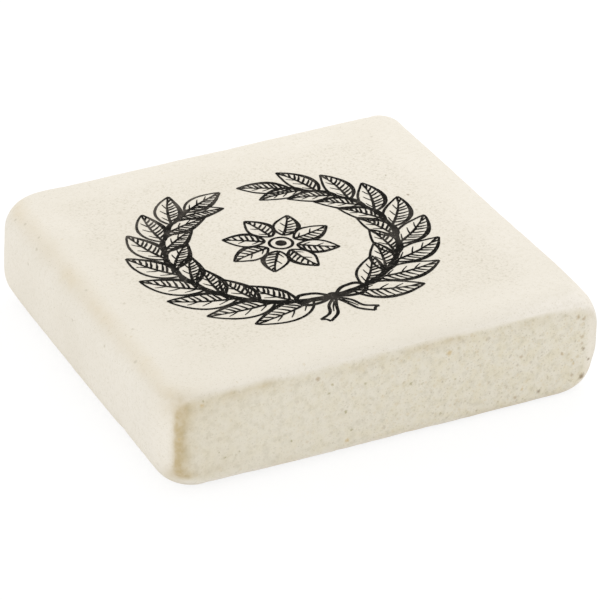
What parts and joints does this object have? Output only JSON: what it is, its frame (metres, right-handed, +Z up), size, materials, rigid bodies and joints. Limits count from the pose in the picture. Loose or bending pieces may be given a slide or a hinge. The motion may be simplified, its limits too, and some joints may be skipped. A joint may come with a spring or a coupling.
{
  "type": "block eraser",
  "caption": "Flat, nearly square block eraser of cream natural rubber, with rounded corners, rolled edges and one side trimmed flat, for rubbing out pencil marks.",
  "frame": {"origin": "middle of the block's box, on the surface that its underside rests on", "axes": "+X along the longer side, to the right as the flat, trimmed front face is looked at; +Y to the back; +Z up, through the block's thickness"},
  "size_m": [0.05, 0.048, 0.0119],
  "materials": {
    "rubber": "matte, finely porous cream natural rubber"
  },
  "bodies": {
    "root": {"rubber_block": "rubber"}
  },
  "joints": []
}
